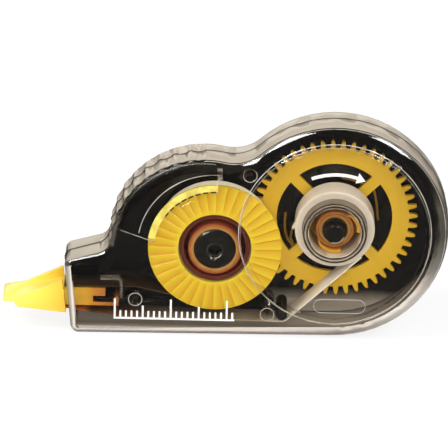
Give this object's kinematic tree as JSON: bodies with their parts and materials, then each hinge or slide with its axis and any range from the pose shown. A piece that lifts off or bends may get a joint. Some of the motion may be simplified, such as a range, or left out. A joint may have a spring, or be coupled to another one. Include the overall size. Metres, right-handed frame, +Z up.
{
  "type": "correction tape dispenser",
  "caption": "Hand-held correction tape dispenser with two lobes, a clear front over geared supply and take-up reels, and a wedge-shaped applicator at the nose.",
  "frame": {"origin": "on the floor under the middle of the whole dispenser, standing on its flat lower edge", "axes": "+X along the dispenser from the applicator tip to the supply lobe, +Y from the clear front to the black rear, +Z up"},
  "size_m": [0.0792, 0.0116, 0.0404],
  "materials": {
    "black_shell": "gloss",
    "clear_shell": "gloss",
    "yellow_gear": "satin",
    "amber_clutch": "satin",
    "grey_core": "satin",
    "white_tape": "matte",
    "amber_reel": "satin",
    "lemon_disc": "satin",
    "spent_backing": "satin",
    "lemon_applicator": "satin"
  },
  "bodies": {
    "housing": {"rear_shell": "black_shell", "front_shell": "clear_shell", "applicator": "lemon_applicator", "supply_tape_run": "white_tape", "used_tape_run": "spent_backing"},
    "supply_drive": {"supply_gear": "yellow_gear", "clutch_spring": "amber_clutch"},
    "supply_core": {"tape_core": "grey_core", "tape_roll": "white_tape"},
    "take_up": {"take_up_reel": "amber_reel", "take_up_disc": "lemon_disc", "used_tape_roll": "spent_backing"}
  },
  "joints": [
    {"name": "supply_spin", "type": "hinge", "parent": "housing", "child": "supply_drive", "pos_m": [0.01939, 0, 0.0202], "axis": [0, 1, 0], "continuous": true},
    {"name": "core_slip", "type": "hinge", "parent": "supply_drive", "child": "supply_core", "pos_m": [0.01939, 0, 0.0202], "axis": [0, 1, 0], "continuous": true},
    {"name": "take_up_spin", "type": "hinge", "parent": "housing", "child": "take_up", "pos_m": [-0.00189, 0, 0.01645], "axis": [0, 1, 0], "continuous": true}
  ],
  "couplings": [
    {"joint": "supply_spin", "follows": "take_up_spin", "ratio": -0.5}
  ]
}
